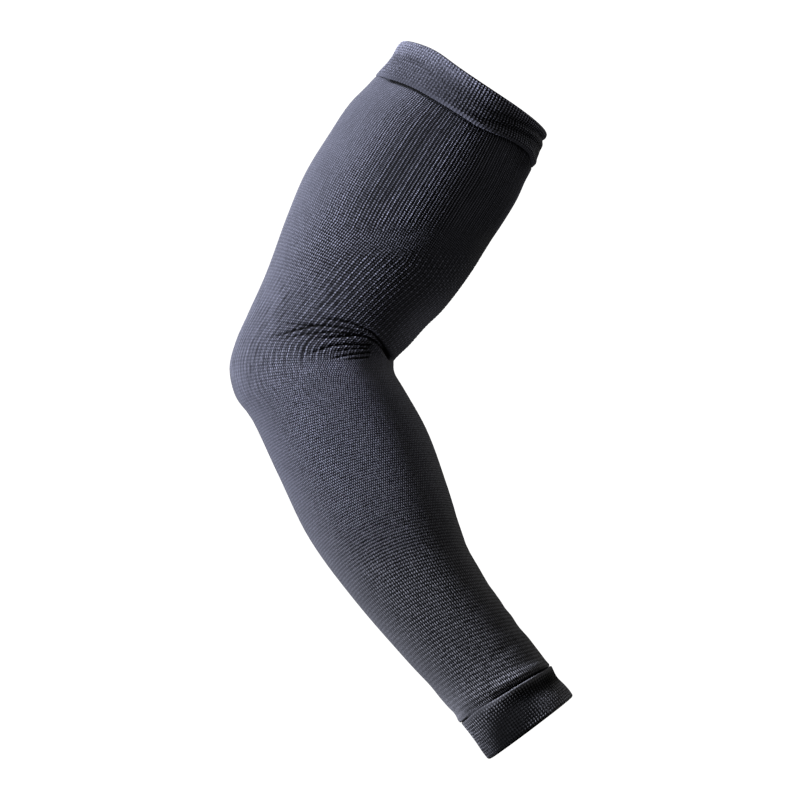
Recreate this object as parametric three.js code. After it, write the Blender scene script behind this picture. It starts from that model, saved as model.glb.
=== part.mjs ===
// Knitted arm sleeve in its worn form, with the elbow bent. Millimetres, +Z up.
// The bend lies in the XZ plane: the back of the elbow points to -X and the wrist end hangs lowest.
// The origin is the centre of the upper opening, where the upper arm goes in.
import * as THREE from "three";

// Driving dimensions
const WALL = 1.2; // knitted wall of the tube
const BAND_WALL = 1.2; // turned-over outer layer of a band
const GAP = 0.3; // clearance between a band and the tube under it
const EDGE_ROUND = 0.5; // rounding of a band's foot and rim
const UPPER_BAND_HEIGHT = 20.5;
const WRIST_BAND_HEIGHT = 25;
const FOOT_FLARE = 0.4; // how far a band's free foot stands off the tube
const BAND_SPANS = 4; // steps along the height of a band
const RING_POINTS = 32; // points round a section
const FOLD_STEPS = 16; // steps along the line of a fold

// Sections of the tube's outer surface, from the wrist rim up to the upper rim.
// A section runs from a back point (elbow side) to a front point (inner-elbow side) in the XZ plane.
// breadth is its size along Y, egg narrows its back side, spans counts the steps up to the next row.
const SECTION_COLUMNS = ["name", "backX", "backZ", "frontX", "frontZ", "breadth", "egg", "spans"];
const SECTIONS = [
  ["wrist rim", 9.5, -387, 55.5, -352.5, 44, 0, 3],
  ["cuff top", -7, -365.5, 43, -336, 46, 0, 2],
  ["above cuff", -15, -358.5, 40.5, -330.5, 50, 0, 3],
  ["low forearm", -32.5, -338.5, 25, -311, 53, 0, 4],
  ["mid forearm", -68.5, -297, -2.5, -270.5, 64, 0, 3],
  ["upper forearm", -95.5, -260, -16, -231, 76, 0.03, 4],
  ["forearm belly", -114, -222.5, -28, -198.5, 82, 0.06, 4],
  ["below elbow", -129, -191, -41, -174, 83, 0.1, 3],
  ["under tip", -138.5, -178, -46, -165.5, 82, 0.14, 4],
  ["elbow tip", -142, -162, -47, -160, 80, 0.16, 4],
  ["above crease", -138.5, -146.5, -45.5, -155.5, 80, 0.14, 5],
  ["over crease", -131, -129.5, -38, -148, 82, 0.1, 4],
  ["low biceps", -120.5, -106.5, -29, -138, 86, 0.06, 3],
  ["mid biceps", -108.5, -74, -18, -127, 90, 0.03, 3],
  ["biceps", -98, -48.5, -4.5, -109, 94, 0, 3],
  ["high biceps", -84, -25.5, 9.5, -87.5, 96, 0, 3],
  ["below band", -70, -5.5, 24.5, -63.5, 95, 0, 3],
  ["band foot", -53, 9, 32, -45, 93, 0, 3],
  ["upper rim", -40.5, 25.5, 40.5, -26, 92, 0, 0],
].map((row) => Object.fromEntries(row.map((value, column) => [SECTION_COLUMNS[column], value])));

// Folds over both sides of the arm, as bowed lines in the XZ plane: three fan out from the inner elbow
// and one runs along the foot of the wrist band.
// bow is the point that pulls the line, depth fades out along it, width is half of the groove's mouth.
const FOLD_COLUMNS = ["fromX", "fromZ", "bowX", "bowZ", "toX", "toZ", "depth", "width"];
const FOLDS = [
  [-47, -157, -59, -133, -91, -133, 2.6, 4.5],
  [-49.5, -156, -65, -137, -92.5, -146, 1.6, 4],
  [-57.5, -152.5, -80, -150.5, -94.5, -155.5, 1.2, 4],
  [43, -333, 33, -343, 8, -355, 1.4, 4],
].map((row) => Object.fromEntries(row.map((value, column) => [FOLD_COLUMNS[column], value])));

// Distance of each section along the middle of the sleeve, measured from the wrist rim.
function sectionStations() {
  const stations = [0];
  for (let row = 1; row < SECTIONS.length; row += 1) {
    const here = SECTIONS[row];
    const before = SECTIONS[row - 1];
    const stepX = (here.backX + here.frontX - before.backX - before.frontX) / 2;
    const stepZ = (here.backZ + here.frontZ - before.backZ - before.frontZ) / 2;
    stations.push(stations[row - 1] + Math.hypot(stepX, stepZ));
  }
  return stations;
}

const STATIONS = sectionStations();
const UPPER_RIM = STATIONS[STATIONS.length - 1];

// Smooth curve through one column: cubic pieces whose slope at a row follows the rows beside it.
function smoothColumn(key) {
  const values = SECTIONS.map((section) => section[key]);
  const last = values.length - 1;
  const slopes = values.map((_, row) => {
    const before = Math.max(row - 1, 0);
    const after = Math.min(row + 1, last);
    return (values[after] - values[before]) / (STATIONS[after] - STATIONS[before]);
  });
  return (station) => {
    let row = 0;
    while (row < last - 1 && station > STATIONS[row + 1]) row += 1;
    const span = STATIONS[row + 1] - STATIONS[row];
    const t = (station - STATIONS[row]) / span;
    const rise = t * t * (3 - 2 * t);
    const leave = t * (1 - t) * (1 - t) * span;
    const arrive = t * t * (t - 1) * span;
    return values[row] * (1 - rise) + values[row + 1] * rise + slopes[row] * leave + slopes[row + 1] * arrive;
  };
}

const SMOOTH = Object.fromEntries(
  ["backX", "backZ", "frontX", "frontZ", "breadth", "egg"].map((key) => [key, smoothColumn(key)]),
);

// How deep the folds press the wall in at a point of the XZ plane.
function foldDepth(x, z) {
  let deepest = 0;
  for (const fold of FOLDS) {
    for (let step = 0; step <= FOLD_STEPS; step += 1) {
      const t = step / FOLD_STEPS;
      const lineX = (1 - t) * (1 - t) * fold.fromX + 2 * t * (1 - t) * fold.bowX + t * t * fold.toX;
      const lineZ = (1 - t) * (1 - t) * fold.fromZ + 2 * t * (1 - t) * fold.bowZ + t * t * fold.toZ;
      const away = Math.hypot(x - lineX, z - lineZ) / fold.width;
      const depth = fold.depth * (1 - t * t) * Math.exp(-2 * away * away);
      deepest = Math.max(deepest, depth);
    }
  }
  return deepest;
}

// One ring of points at a station, standing off the tube's outer surface by an offset.
function sectionRing({ station, offset }) {
  const middleX = (SMOOTH.frontX(station) + SMOOTH.backX(station)) / 2;
  const middleZ = (SMOOTH.frontZ(station) + SMOOTH.backZ(station)) / 2;
  const halfX = (SMOOTH.frontX(station) - SMOOTH.backX(station)) / 2;
  const halfZ = (SMOOTH.frontZ(station) - SMOOTH.backZ(station)) / 2;
  const halfDepth = Math.hypot(halfX, halfZ);
  const halfBreadth = SMOOTH.breadth(station) / 2;
  const ring = [];
  for (let point = 0; point < RING_POINTS; point += 1) {
    const angle = (2 * Math.PI * point) / RING_POINTS;
    const forward = Math.cos(angle);
    const press = foldDepth(middleX + halfX * forward, middleZ + halfZ * forward);
    const reach = 1 + (offset - press) / halfDepth;
    const sideways = (halfBreadth + offset - press) * Math.sin(angle);
    ring.push(
      new THREE.Vector3(
        middleX + halfX * reach * forward,
        sideways * (1 + SMOOTH.egg(station) * forward),
        middleZ + halfZ * reach * forward,
      ),
    );
  }
  return ring;
}

// Closed solid swept round the arm: the profile is a closed loop of stations and offsets,
// going up the outside and down the inside.
function loopSolid(profile) {
  const rings = profile.map(sectionRing);
  const positions = rings.flat().flatMap((point) => point.toArray());
  const indices = [];
  rings.forEach((_, ring) => {
    const next = (ring + 1) % rings.length;
    for (let point = 0; point < RING_POINTS; point += 1) {
      const beside = (point + 1) % RING_POINTS;
      const a = ring * RING_POINTS + point;
      const b = ring * RING_POINTS + beside;
      const c = next * RING_POINTS + beside;
      const d = next * RING_POINTS + point;
      indices.push(a, b, c, a, c, d);
    }
  });
  const geometry = new THREE.BufferGeometry();
  geometry.setAttribute("position", new THREE.Float32BufferAttribute(positions, 3));
  geometry.setIndex(indices);
  geometry.computeVertexNormals();
  return geometry;
}

// Stations of the tube's rings, closer together at the elbow, between the undersides of the two rims.
function tubeStations() {
  const lowest = BAND_WALL + GAP;
  const highest = UPPER_RIM - BAND_WALL - GAP;
  const stations = [lowest];
  SECTIONS.slice(0, -1).forEach((section, row) => {
    for (let step = 1; step <= section.spans; step += 1) {
      const station = STATIONS[row] + ((STATIONS[row + 1] - STATIONS[row]) * step) / section.spans;
      stations.push(Math.min(station, highest));
    }
  });
  return stations;
}

function armTube() {
  const stations = tubeStations();
  const outside = stations.map((station) => ({ station, offset: 0 }));
  const inside = stations.map((station) => ({ station, offset: -WALL })).reverse();
  return loopSolid([...outside, ...inside]);
}

// A band is turned over the tube's end: a lip over the rim and a layer down the outside to a free foot.
// The profile is written from the foot up to the rim; a band at the wrist has the same one upside down.
function band(rimStation, height, towardsRim) {
  const outer = GAP + BAND_WALL;
  const flareAt = (rise) => FOOT_FLARE * (1 - rise) ** 2;
  const steps = Array.from({ length: BAND_SPANS }, (_, step) => step / BAND_SPANS);
  const profile = [
    { up: 0, offset: outer + FOOT_FLARE - EDGE_ROUND },
    ...steps.map((rise) => ({
      up: Math.max(rise * (height - EDGE_ROUND), EDGE_ROUND),
      offset: outer + flareAt(rise),
    })),
    { up: height - EDGE_ROUND, offset: outer },
    { up: height, offset: outer - EDGE_ROUND },
    { up: height, offset: EDGE_ROUND - WALL },
    { up: height - EDGE_ROUND, offset: -WALL },
    { up: height - BAND_WALL, offset: -WALL },
    { up: height - BAND_WALL, offset: GAP },
    ...steps.toReversed().map((rise) => ({ up: rise * (height - EDGE_ROUND), offset: GAP + flareAt(rise) })),
  ];
  const placed = profile.map(({ up, offset }) => ({ station: rimStation + towardsRim * (up - height), offset }));
  return loopSolid(towardsRim > 0 ? placed : placed.reverse());
}

function part(name, geometry, color, roughness) {
  const material = new THREE.MeshStandardMaterial({ color, roughness, metalness: 0 });
  const mesh = new THREE.Mesh(geometry, material);
  mesh.name = name;
  return mesh;
}

const sleeve = new THREE.Group();
sleeve.add(part("arm_tube", armTube(), 0x4b4c58, 0.92));
sleeve.add(part("upper_band", band(UPPER_RIM, UPPER_BAND_HEIGHT, 1), 0x44454f, 0.9));
sleeve.add(part("wrist_band", band(0, WRIST_BAND_HEIGHT, -1), 0x44454f, 0.9));

export default sleeve;
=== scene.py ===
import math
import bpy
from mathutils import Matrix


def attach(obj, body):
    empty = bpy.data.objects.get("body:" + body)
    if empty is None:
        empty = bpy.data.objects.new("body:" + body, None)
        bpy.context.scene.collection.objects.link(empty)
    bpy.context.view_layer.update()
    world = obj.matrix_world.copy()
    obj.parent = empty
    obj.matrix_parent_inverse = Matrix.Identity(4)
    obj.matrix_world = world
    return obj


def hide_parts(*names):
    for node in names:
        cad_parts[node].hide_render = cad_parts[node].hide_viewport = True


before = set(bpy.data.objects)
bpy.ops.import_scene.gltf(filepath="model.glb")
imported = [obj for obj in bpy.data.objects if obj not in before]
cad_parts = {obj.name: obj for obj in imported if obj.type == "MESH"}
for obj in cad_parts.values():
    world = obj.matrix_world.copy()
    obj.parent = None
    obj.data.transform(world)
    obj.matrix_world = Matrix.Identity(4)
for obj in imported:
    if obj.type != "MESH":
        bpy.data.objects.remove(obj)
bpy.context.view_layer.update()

# Knitted arm sleeve in its worn form with a bent elbow: a seamless tube with ribs on the upper arm, raised
# cells round the elbow and plain jersey on the forearm, and a turned-over band at each opening.
# Sizes are in millimetres until a mesh is made; meshes, lights and camera are in metres.

# Words for places, used in all shapes and tones: station is the distance along the middle of the sleeve from
# the wrist rim, course is the station that a line of loops keeps to before it bows, forward runs from -1 at
# the back of the arm to 1 at its inner side, and rise runs from 0 at a band's foot to 1 at its rim.
from types import SimpleNamespace

import bpy
import numpy as np
from mathutils import Vector

MM = 0.001
FULL_TURN = 2 * math.pi
RANDOM = np.random.default_rng(11)

# Driving sizes of the cloth
WALL = 1.2  # knitted wall of the tube
BAND_WALL = 1.2  # turned-over outer layer of a band
GAP = 0.3  # clearance between a band and the tube under it
UPPER_BAND_HEIGHT = 20.5
WRIST_BAND_HEIGHT = 25.0

# Knitting: loop columns (wales) round the tube, mesh columns to each, and the loop column at each mesh column
WALES = 180
COLUMNS_PER_WALE = 2
COLUMNS = WALES * COLUMNS_PER_WALE
WALE = np.arange(COLUMNS)[None, :] / COLUMNS_PER_WALE
KNIT_MAP = "Knit"

# Raised cells at the elbow: pitch for the mesh rows, and loop columns and courses to each cell
CELL_PITCH = 3.6
CELL_WALES = 2
CELL_COURSES = 2.4

# Sections of the tube's outer surface from the wrist rim to the upper rim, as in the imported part:
# back point and front point in the XZ plane, breadth along Y, and how far the back side is narrowed.
SECTION_COLUMNS = ("back_x", "back_z", "front_x", "front_z", "breadth", "egg")
SECTIONS = np.array([
    (9.5, -387, 55.5, -352.5, 44, 0),
    (-7, -365.5, 43, -336, 46, 0),
    (-15, -358.5, 40.5, -330.5, 50, 0),
    (-32.5, -338.5, 25, -311, 53, 0),
    (-68.5, -297, -2.5, -270.5, 64, 0),
    (-95.5, -260, -16, -231, 76, 0.03),
    (-114, -222.5, -28, -198.5, 82, 0.06),
    (-129, -191, -41, -174, 83, 0.1),
    (-138.5, -178, -46, -165.5, 82, 0.14),
    (-142, -162, -47, -160, 80, 0.16),
    (-138.5, -146.5, -45.5, -155.5, 80, 0.14),
    (-131, -129.5, -38, -148, 82, 0.1),
    (-120.5, -106.5, -29, -138, 86, 0.06),
    (-108.5, -74, -18, -127, 90, 0.03),
    (-98, -48.5, -4.5, -109, 94, 0),
    (-84, -25.5, 9.5, -87.5, 96, 0),
    (-70, -5.5, 24.5, -63.5, 95, 0),
    (-53, 9, 32, -45, 93, 0),
    (-40.5, 25.5, 40.5, -26, 92, 0),
])

# How square the section is, by station: 2 is an ellipse, more gives flatter sides
SQUARE_STATIONS = (0, 40, 90, 215, 260, 300)
SQUARENESS = (2.1, 2.4, 2.5, 2.5, 2.2, 2.0)

# Folds as lines through points of the XZ plane, over both sides of the arm: depth at the start of the line
# (negative for a ridge), half width of the groove, and the points. All but the last fan out from the inner
# elbow; the last lies above the wrist band.
TUBE_FOLDS = [
    (2.8, 1.0, [
        (-48.2, -156.4), (-52.3, -150.8), (-58.1, -144.4), (-63.9, -141.3), (-71.9, -138.2), (-91, -135.4),
    ]),
    (2.4, 0.9, [
        (-48.4, -157.7), (-51.8, -153.5), (-56.4, -149.2), (-61.4, -146.5), (-68.8, -145.6), (-95, -148),
    ]),
    (-0.9, 1.4, [(-52, -152.3), (-57.2, -146.8), (-62.5, -143.8), (-70, -141.8)]),
    (1.9, 0.7, [(-63.7, -144.5), (-74.6, -141.6), (-83.7, -140.4), (-97.7, -139.6), (-114, -138)]),
    (1.3, 0.7, [(-93, -140.2), (-104.8, -143), (-118, -146.6)]),
    (1.0, 0.6, [(-70, -144.4), (-84, -143.8), (-98, -144.9), (-108, -146.6), (-117, -149)]),
    (1.6, 0.7, [(-59.3, -150.9), (-74.7, -150.8), (-82.6, -151.6), (-89.9, -154.2), (-98, -157)]),
    (0.9, 0.6, [(-60.5, -152.7), (-71.7, -153.3), (-83, -155.7)]),
    (1.1, 0.6, [(-60.4, -155), (-74.7, -157.1), (-86, -160)]),
    (0.8, 0.6, [(-61.4, -157.7), (-76, -159.9)]),
    (0.5, 2.4, [(24, -319.5), (16, -325.5), (10.5, -330.5), (4, -334.5)]),
]
UPPER_BAND_FOLDS = [
    (0.5, 1.3, [(-38.1, 15.8), (-32.3, 12.0), (-25, 6.8)]),
]

# Form of a fold: half widths to which it is felt, how square its groove is, how late it fades along its
# line, the depth from which its line of painted shade is fully dark, and how narrow that painted line is
FOLD_REACH = 4
GROOVE_POWER = 1.6
FADE_POWER = 4
DARK_DEPTH = 0.9
LINE_POWER = 1.5

# How the knit lies on the arm, by station: course lines bow towards the elbow at the sides of the arm
# (millimetres), and loop columns lean round the elbow (radians)
KNIT_COLUMNS = ("station", "bow", "lean")
KNIT_LAY = np.array([
    (0, 0, -0.05),
    (60, 6, 0.0),
    (140, 9, 0.1),
    (215, 5, 0.16),
    (255, 0, 0.18),
    (290, 0, 0.0),
    (325, 0, -0.18),
    (385, 0, -0.16),
    (440, 0, -0.12),
])

# Distance between course lines by station: the fabric is drawn out lengthwise towards the wrist
COURSE_STATIONS = (0, 30, 80, 140, 240, 335, 365, 440)
COURSE_PITCHES = (1.6, 2.35, 2.35, 1.6, 1.5, 1.5, 1.05, 1.05)
COUNT_STEPS = 2000  # short steps over which courses are counted
BAND_COURSE_PITCH = 1.5  # the same all over a band

# Mesh rows along the tube: from station, to station, step. They are closer where the relief is finer.
ROW_ZONES = [
    (0, 20, 2.5),
    (20, 32, 0.75),
    (32, 47, 1.5),
    (47, 65, 3.0),
    (65, 226.8, 5.78),
    (226.8, 244.8, CELL_PITCH / 3),
    (244.8, 277.2, CELL_PITCH / 6),
    (277.2, 356.4, CELL_PITCH / 3),
    (356.4, 402, 4.56),
    (402, 420, 0.8),
    (420, 440, 2.5),
]
ROW_MARGIN = 0.5  # least distance from a rim to the next row
ROUNDING = 0.01  # keeps a zone's end from getting a row in both zones
INNER_ROW_STEP = 5  # the plain inner wall has every fifth row


def ramp(value, low, high):
    """0 below low, 1 above high, smooth between."""
    t = np.clip((value - low) / (high - low), 0, 1)
    return t * t * (3 - 2 * t)


def hump(value, middle, width):
    """Bell curve of height 1."""
    return np.exp(-(((value - middle) / width) ** 2))


def total(parts):
    """Sum of amounts, each times the share of it that a point gets."""
    return sum(amount * share for amount, share in parts)


def square_round(angle, squareness):
    """Unit circle pushed out between its four ends, as forward and sideways shares."""
    forward, sideways = np.cos(angle), np.sin(angle)
    radius = (np.abs(forward) ** squareness + np.abs(sideways) ** squareness) ** (-1 / squareness)
    return radius * forward, radius * sideways


def section_stations():
    """Distance of each section along the middle of the sleeve, from the wrist rim."""
    middle = (SECTIONS[:, 0:2] + SECTIONS[:, 2:4]) / 2
    steps = np.hypot(*np.diff(middle, axis=0).T)
    return np.concatenate([[0.0], np.cumsum(steps)])


STATIONS = section_stations()
UPPER_RIM = STATIONS[-1]


def smooth_column(column, station):
    """Cubic pieces through one column of the sections, with slopes that follow the rows beside each row."""
    values = SECTIONS[:, SECTION_COLUMNS.index(column)]
    last = len(values) - 1
    before = np.maximum(np.arange(last + 1) - 1, 0)
    after = np.minimum(np.arange(last + 1) + 1, last)
    slopes = (values[after] - values[before]) / (STATIONS[after] - STATIONS[before])
    row = np.clip(np.searchsorted(STATIONS, station) - 1, 0, last - 1)
    span = STATIONS[row + 1] - STATIONS[row]
    t = (station - STATIONS[row]) / span
    rise = t * t * (3 - 2 * t)
    leave = t * (1 - t) ** 2 * span
    arrive = t * t * (t - 1) * span
    return values[row] * (1 - rise) + values[row + 1] * rise + slopes[row] * leave + slopes[row + 1] * arrive


def sleeve_point(station, angle, offset):
    """Points at a station and an angle round the sleeve from its front, off the tube's outer surface."""
    column = {name: smooth_column(name, station) for name in SECTION_COLUMNS}
    half_x = (column["front_x"] - column["back_x"]) / 2
    half_z = (column["front_z"] - column["back_z"]) / 2
    half_depth = np.hypot(half_x, half_z)
    forward, sideways = square_round(angle, np.interp(station, SQUARE_STATIONS, SQUARENESS))
    reach = (1 + offset / half_depth) * forward
    x = (column["front_x"] + column["back_x"]) / 2 + half_x * reach
    z = (column["front_z"] + column["back_z"]) / 2 + half_z * reach
    y = (column["breadth"] / 2 + offset) * sideways * (1 + column["egg"] * forward)
    return np.stack([x, y, z], axis=-1)


def knit_lay(course, wale_angle):
    """Station and angle of a course line and a loop column, bent as the knit lies on the arm."""
    lay = dict(zip(KNIT_COLUMNS, KNIT_LAY.T))
    bow = np.interp(course, lay["station"], lay["bow"])
    lean = np.interp(course, lay["station"], lay["lean"])
    angle = wale_angle + lean * np.sin(wale_angle)
    return course + bow * np.sin(angle) ** 2, angle


def outward(grid):
    """Unit normals of a grid of points that is closed along its second axis."""
    along = np.gradient(grid, axis=0)
    round_it = np.roll(grid, -1, axis=1) - np.roll(grid, 1, axis=1)
    normal = np.cross(round_it, along)
    return normal / np.linalg.norm(normal, axis=-1, keepdims=True)


def fold_nearness(points, width, x, z):
    """1 on the line of a fold, falling away beside it and towards its end."""
    legs = np.hypot(*np.diff(points, axis=0).T)
    starts = np.concatenate([[0], np.cumsum(legs)])
    nearness = np.zeros_like(x)
    for here, after, leg, start in zip(points[:-1], points[1:], legs, starts):
        run = after - here
        off_x = x - here[0]
        off_z = z - here[1]
        share = np.clip((off_x * run[0] + off_z * run[1]) / leg**2, 0, 1)
        away = np.hypot(off_x - share * run[0], off_z - share * run[1]) / width
        along = (start + share * leg) / starts[-1]
        nearness = np.maximum(nearness, (1 - along**FADE_POWER) * np.exp(-(away**GROOVE_POWER)))
    return nearness


def fold_press(folds, x, z):
    """How deep folds press the cloth in at points of the XZ plane, and how dark the painted shade on their
    lines is there.
    A ridge counts as negative in both, so its line becomes a painted highlight."""
    press = np.zeros_like(x)
    line = np.zeros_like(x)
    for depth, width, points in folds:
        points = np.array(points)
        low = points.min(axis=0) - FOLD_REACH * width
        high = points.max(axis=0) + FOLD_REACH * width
        near = (x > low[0]) & (x < high[0]) & (z > low[1]) & (z < high[1])
        nearness = fold_nearness(points, width, x[near], z[near])
        # Painted shade along the line of a fold, full for deep and narrow folds
        line_shade = np.sign(depth) * min(abs(depth) / DARK_DEPTH, 1) * min(1 / width**2, 1)
        press[near] += depth * nearness
        line[near] += line_shade * nearness**LINE_POWER
    return press, line


def lowest_nearby(values, reach):
    """Lowest value within some rows and columns of each point. Columns close on themselves."""
    padded = np.pad(values, ((reach, reach), (0, 0)), mode="edge")
    along = np.min([padded[step : step + len(values)] for step in range(2 * reach + 1)], axis=0)
    return np.min([np.roll(along, step, axis=1) for step in range(-reach, reach + 1)], axis=0)


def row_courses(lowest, highest):
    """Courses that get a row of mesh, from the lowest to the highest."""
    every = np.concatenate([np.arange(start, stop - ROUNDING, step) for start, stop, step in ROW_ZONES])
    inside = every[(every > lowest + ROW_MARGIN) & (every < highest - ROW_MARGIN)]
    return np.concatenate([[lowest], inside, [highest]])


def course_count(course):
    """Number of course lines from the wrist rim, for the stitches."""
    fine = np.linspace(0, COURSE_STATIONS[-1], COUNT_STEPS)
    pitch = np.interp(fine, COURSE_STATIONS, COURSE_PITCHES)
    count = np.concatenate([[0], np.cumsum(np.diff(fine) / pitch[1:])])
    return np.interp(course, fine, count)


def grid_faces(first, rows, columns, flip=False):
    """Quads of a grid of vertices that is closed along its columns, and the row and column of each corner."""
    row, column = np.meshgrid(np.arange(rows - 1), np.arange(columns), indexing="ij")
    row, column = row.ravel(), column.ravel()
    corner_rows = np.stack([row, row, row + 1, row + 1], axis=1)
    corner_columns = np.stack([column, column + 1, column + 1, column], axis=1)
    faces = first + corner_rows * columns + corner_columns % columns
    if flip:
        return faces[:, ::-1], corner_rows[:, ::-1], corner_columns[:, ::-1]
    return faces, corner_rows, corner_columns


def make_object(name, points, faces, uvs, attributes):
    """Smooth mesh object in metres, with a knit map and point attributes."""
    mesh = bpy.data.meshes.new(name)
    mesh.from_pydata((points * MM).tolist(), [], faces)
    mesh.polygons.foreach_set("use_smooth", np.ones(len(mesh.polygons), dtype=bool))
    layer = mesh.uv_layers.new(name=KNIT_MAP)
    layer.data.foreach_set("uv", np.asarray(uvs, dtype=np.float32).ravel())
    for key, values in attributes.items():
        attribute = mesh.attributes.new(key, "FLOAT", "POINT")
        attribute.data.foreach_set("value", np.asarray(values, dtype=np.float32).ravel())
    mesh.update()
    piece = bpy.data.objects.new(name, mesh)
    bpy.context.scene.collection.objects.link(piece)
    return piece


# Where the bands' feet lie on the tube: how far each strays from an even ring, along the sleeve
BACK_DROP = 2.0
UPPER_FOOT_DROP = 1.0
UPPER_FOOT_RAISED = 5.5
WRIST_FOOT_BOW = 0.6

# Dip of the tube along each foot, and how far the cloth beyond it swells to lie flush with the band
UPPER_DIP = 1.0
UPPER_DIP_BACK = 1.4
UPPER_DIP_WIDTH = 1.1
UPPER_FLUSH = 1.4
UPPER_FLUSH_BACK = 0.8
WRIST_DIP = 0.1
WRIST_DIP_FREE = 2.6
WRIST_DIP_WIDTH = 1.5
WRIST_SWELL = 1.5
WRIST_FLUSH = 1.2
WRIST_FLUSH_BACK = 1.1


def upper_foot(forward):
    """Station of the upper band's foot: lower at the back of the arm, higher at the inner side."""
    raised = UPPER_FOOT_RAISED * ramp(forward, 0.2, 0.85) * (1 - 0.65 * ramp(forward, 0.9, 1.0))
    dropped = UPPER_FOOT_DROP + BACK_DROP * ramp(-forward, 0.5, 1.0)
    return UPPER_RIM - UPPER_BAND_HEIGHT - dropped + raised


def wrist_foot(forward):
    """Station of the wrist band's foot, bowed a little where it stands off the arm."""
    bow = WRIST_FOOT_BOW * hump(forward, 0.4, 0.5)
    return WRIST_BAND_HEIGHT + bow - BACK_DROP * ramp(-forward, 0.5, 1.0)


def upper_crevice(station, angle):
    """Depth of the tube's dip at the upper band's foot. At the back and the front the cloth lies flush."""
    forward = np.cos(angle)
    side = ramp(np.abs(np.sin(angle)), 0.3, 0.6)
    below = upper_foot(forward) - station
    depth = side * (UPPER_DIP + UPPER_DIP_BACK * (1 - ramp(forward, -0.5, 0.1)))
    covered = ramp(UPPER_RIM - station, 1.5, 8.0)
    dip = depth * np.where(below < 0, covered, hump(below, 0, UPPER_DIP_WIDTH))
    flush = (1 - side) * hump(below, 0, 9) * ramp(below, 0.0, 1.2)
    return dip - (UPPER_FLUSH + UPPER_FLUSH_BACK * ramp(-forward, 0.7, 1.0)) * flush


def wrist_crevice(station, angle):
    """Depth of the tube's dip at the wrist band's foot, deepest where the foot stands free."""
    forward = np.cos(angle)
    above = station - wrist_foot(forward)
    free = ramp(forward, -0.35, 0.3) * (1 - 0.95 * ramp(forward, 0.75, 0.98))
    covered = ramp(station, 1.5, 10.0)
    dip = (WRIST_DIP + WRIST_DIP_FREE * free) * np.where(above < 0, covered, hump(above, 0, WRIST_DIP_WIDTH))
    swell = WRIST_SWELL * free * hump(above, 5.0, 3.2)
    flush = ramp(np.abs(forward), 0.7, 0.97) * hump(above, 1.5, 3.0) * ramp(above, 0.0, 0.6)
    return dip - swell - (WRIST_FLUSH + WRIST_FLUSH_BACK * ramp(-forward, 0.7, 1.0)) * flush


# Arm tube: relief of ribs and cells, and how much of it a fold presses flat
RIB_HEIGHT = 0.26
LOW_RIB = 0.45  # how much lower every other rib is towards the inner side
CELL_HEIGHT = 0.5
CELL_SINK = 0.35  # share of a cell's height that lies below the plain cloth
RIDGE_POWER = 1.5  # how narrow the ridges of cells are
FOLD_FLATTENS = 0.8
RIPPLE_HEIGHT = 0.22

# Painted shade of folds and feet: tone on the line of a deep fold, how far rib ridges break that painted
# line, painted highlight on a ridge beside it, and painted shade for each millimetre of dip along a foot
FOLD_SHADE_TONE = -0.5
FOLD_BREAK = 0.4
FOLD_RIDGE_HIGHLIGHT = 0.2
UPPER_DIP_SHADE = 0.35
WRIST_DIP_SHADE = 0.2

# Uneven tone along single loop columns changes over this distance
STREAK_LENGTH = 4.0

# Look of the inner wall, which is the plain back of the knit: values that are not 0
INNER_LOOK = {"crest": 0.45, "cool": 1.0, "grain": 1.0, "speckle": 0.2}


def slow_waves(course, angle):
    """Gentle unevenness of worn cloth that closes on itself round the arm."""
    return (
        0.16 * np.sin(course / 23 + 2 * np.sin(angle) + 0.7)
        + 0.12 * np.sin(course / 13 + 3 * angle)
        + 0.10 * np.sin(course / 31 - 2 * angle + 1.9)
    )


def worn_shape(course, angle):
    """How far the worn cloth stands off the plain sections: slow waves, and ripples on the inner forearm."""
    forward = np.cos(angle)
    loose = ramp(course, 30, 50) * (1 - ramp(course, 390, 405))
    fuller = 0.3 + 0.5 * hump(course, 100, 30)
    slimmer = 0.9 * hump(course, 46, 12) * ramp(-forward, 0.5, 0.9)
    ripples = RIPPLE_HEIGHT * np.sin(course / 3.1 + 1.5 * np.sin(course / 11)) * ramp(forward, 0.1, 0.7)
    ripples = ripples * ramp(course, 36, 50) * (1 - ramp(course, 110, 150))
    return (slow_waves(course, angle) + fuller - slimmer) * loose + ripples


def knit_zones(course, x, z, forward):
    """Where each kind of knit lies on the tube, as shares from 0 to 1."""
    cell_floor = -158 + 0.06 * (x + 65)
    cells = ramp(z, cell_floor - 4, cell_floor + 6) * (1 - ramp(z, -104, -92))
    elbow_back = ramp(z, -200, -165) * (1 - ramp(z, -125, -100)) * (1 - ramp(forward, -0.1, 0.4))
    return SimpleNamespace(
        ribs=ramp(z, -90, -78) * (0.08 + 0.92 * ramp(forward, -0.6, 0.1)),
        cells=cells * (0.1 + 0.9 * ramp(forward, -0.6, 0.15)),
        beads=0.55 + 0.35 * ramp(forward, -0.2, 0.3),
        elbow=ramp(z, -225, -185) * (1 - ramp(z, -120, -95)) * (1 - 0.6 * ramp(forward, 0.0, 0.5)),
        elbow_back=elbow_back,
        drawn_out=1 - ramp(course, 80, 150),
        biceps=ramp(z, -92, -62),
        above_crease=ramp(z, -165, -140),
    )


def rib_wave(forward):
    """Ribs along the loop columns, each of its own strength. On the inner side every other one is lower."""
    strength = np.repeat(RANDOM.uniform(0.5, 1.5, WALES), COLUMNS_PER_WALE)[None, :]
    wave = np.cos(FULL_TURN * WALE) * strength
    lowered = wave * (1 - LOW_RIB * ramp(forward, -0.1, 0.25))
    return np.where(WALE % CELL_WALES == 1, lowered, wave)


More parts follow.
